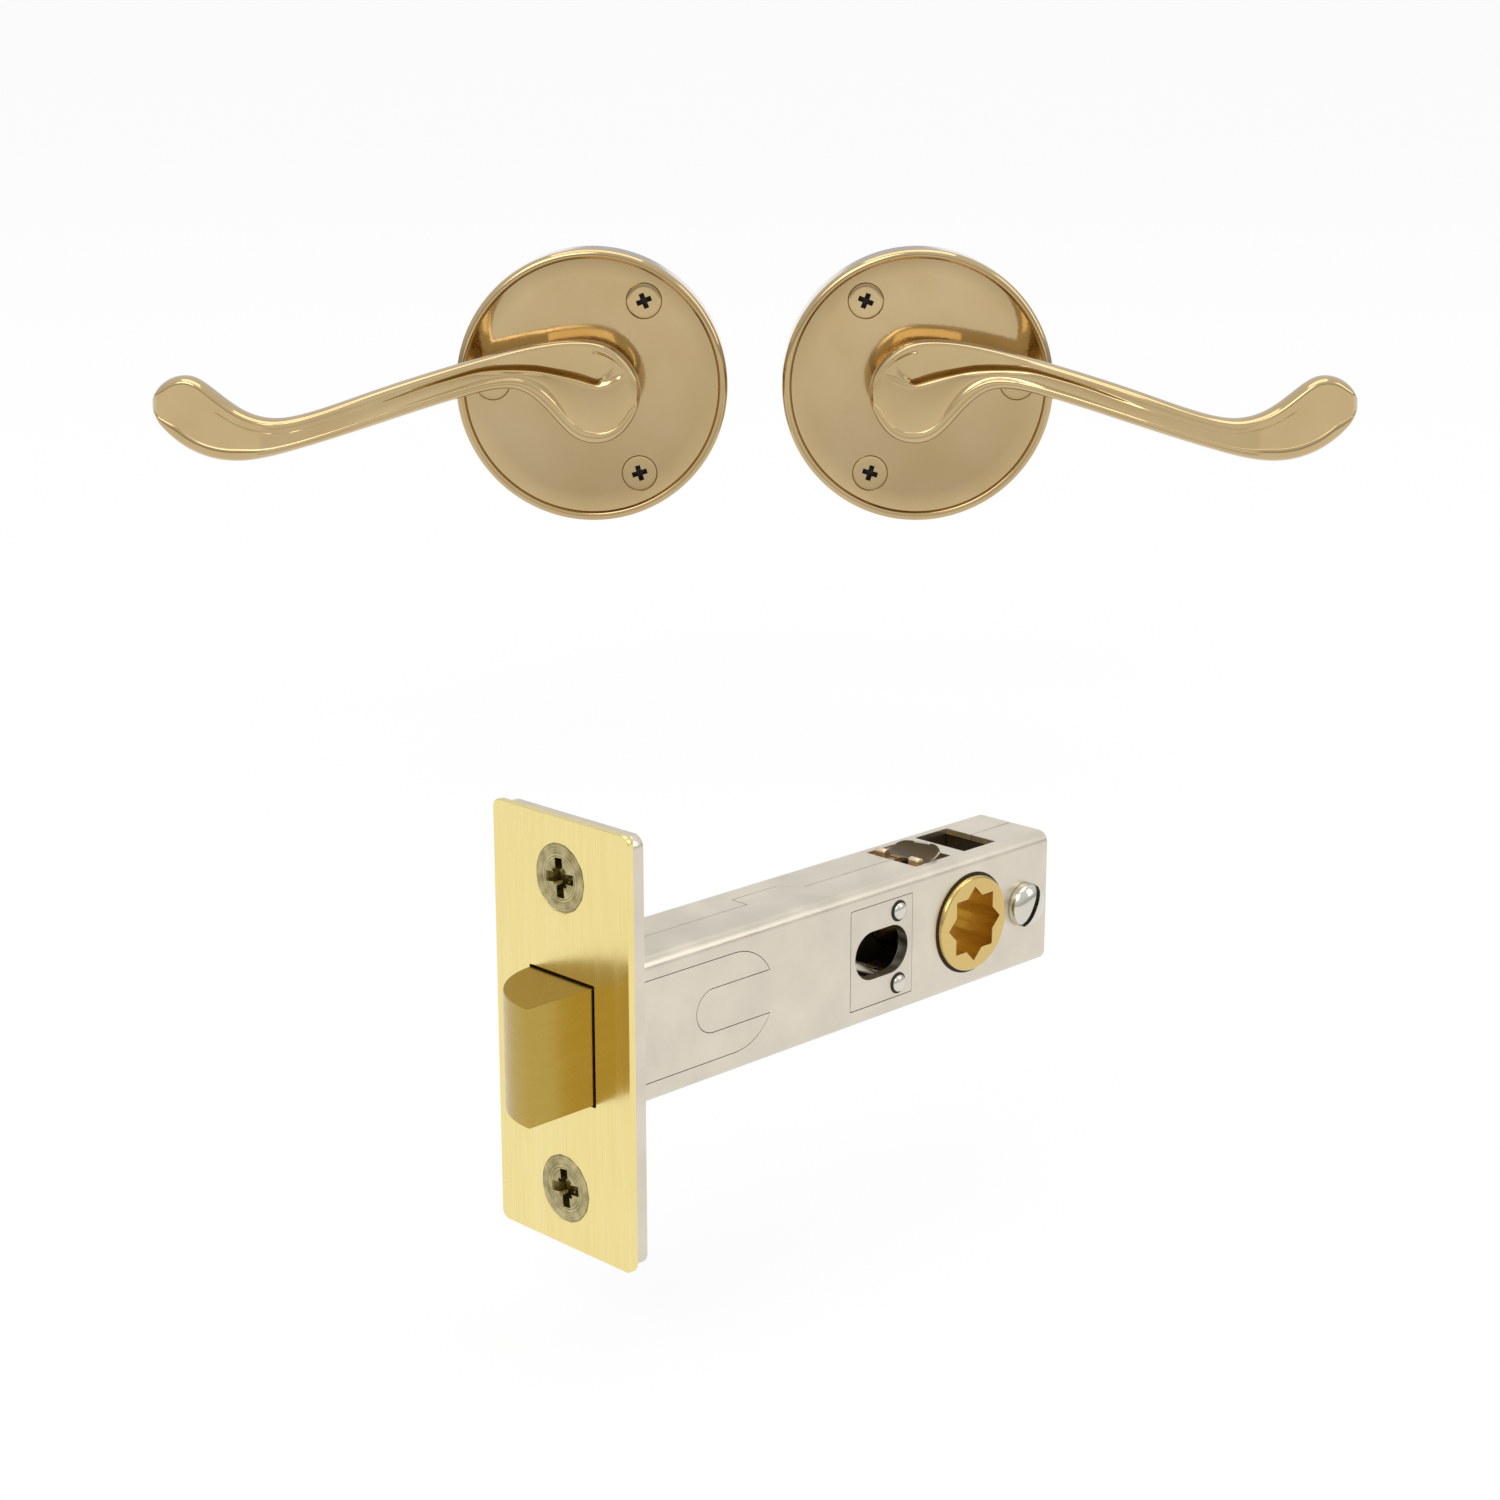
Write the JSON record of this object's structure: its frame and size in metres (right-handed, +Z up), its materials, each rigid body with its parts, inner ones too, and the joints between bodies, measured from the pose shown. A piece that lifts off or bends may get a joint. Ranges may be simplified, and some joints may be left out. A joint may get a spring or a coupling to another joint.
{
  "type": "passage handle set",
  "caption": "Scroll lever handles on round roses with a square spindle, and a tubular door latch with a sprung, bevelled bolt.",
  "frame": {"origin": "middle of the forend's back face, where the latch seats on the edge of the door", "axes": "+X along the latch case into the door, +Z up the face plate, -Y towards the side of the case that is seen; the roses stand on a door face turned 45 degrees from the case, whose outward side looks along (-0.7071, -0.7071, 0)"},
  "size_m": [0.3069, 0.2897, 0.1012],
  "materials": {
    "lever_brass": "polished, lacquered, tan gold",
    "rose_brass": "polished, lacquered, tan gold",
    "rose_screw_brass": "polished flat heads",
    "cover_brass": "polished, pale lemon",
    "plate_screw_brass": "turned, dull, greyish",
    "bolt_brass": "machined and polished, deep gold",
    "hub_brass": "as cast and tumbled",
    "cage_bronze": "bright pinkish gold plate",
    "forend_nickel": "nickel plated steel",
    "case_steel": "bright zinc plated sheet",
    "inner_steel": "plain pressed steel",
    "guide_steel": "plated sheet",
    "rivet_nickel": "bright nickel",
    "leaf_steel": "bright leaf",
    "plug_steel": "satin zinc casting",
    "end_screw_nickel": "bright nickel",
    "spring_steel": "oiled spring wire",
    "spindle_steel": "bright zinc plated bar",
    "grub_steel": "blackened steel"
  },
  "bodies": {
    "fixed_pieces": {"left_rose": "rose_brass", "left_rose_screws": "rose_screw_brass", "left_backing_plate": "inner_steel", "left_return_spring": "spring_steel", "right_rose": "rose_brass", "right_rose_screws": "rose_screw_brass", "right_backing_plate": "inner_steel", "right_return_spring": "spring_steel", "face_cover": "cover_brass", "forend": "forend_nickel", "plate_screws": "plate_screw_brass", "latch_case": "case_steel", "bolt_spring": "spring_steel", "spring_seat": "inner_steel", "near_guide_plate": "guide_steel", "far_guide_plate": "guide_steel", "slot_rivets": "rivet_nickel", "cam_cage": "cage_bronze", "cage_leaf": "leaf_steel", "end_plug": "plug_steel", "end_screw": "end_screw_nickel"},
    "left_handle": {"left_lever": "lever_brass", "left_grub_screw": "grub_steel", "left_driver": "inner_steel", "spindle": "spindle_steel"},
    "right_handle": {"right_lever": "lever_brass", "right_grub_screw": "grub_steel", "right_driver": "inner_steel"},
    "hub": {"hub": "hub_brass"},
    "bolt": {"bolt": "bolt_brass", "bolt_pin": "inner_steel", "draw_fork": "inner_steel", "upper_retractor": "inner_steel", "lower_retractor": "inner_steel"}
  },
  "joints": [
    {"name": "left_lever_turn", "type": "hinge", "parent": "fixed_pieces", "child": "left_handle", "pos_m": [0.1996, 0.2187, 0.0427], "axis": [-0.7071, -0.7071, 0], "range_deg": [0, 60], "stiffness_Nm_per_rad": 0.5, "springref_deg": -34.38, "deforming": ["left_return_spring"]},
    {"name": "right_lever_turn", "type": "hinge", "parent": "fixed_pieces", "child": "right_handle", "pos_m": [0.25051, 0.16779, 0.0427], "axis": [0.7071, 0.7071, 0], "range_deg": [0, 60], "stiffness_Nm_per_rad": 0.5, "springref_deg": -34.38, "deforming": ["right_return_spring"]},
    {"name": "hub_turn", "type": "hinge", "parent": "fixed_pieces", "child": "hub", "pos_m": [0.0671, 0, 0], "axis": [0, 1, 0], "range_deg": [0, 60]},
    {"name": "bolt_slide", "type": "slide", "parent": "fixed_pieces", "child": "bolt", "axis": [1, 0, 0], "range_m": [0, 0.0102], "stiffness_N_per_m": 500, "springref_m": -0.01, "deforming": ["bolt_spring"]}
  ],
  "couplings": [
    {"joint": "hub_turn", "follows": "bolt_slide", "rad_per_m": 102.66}
  ]
}
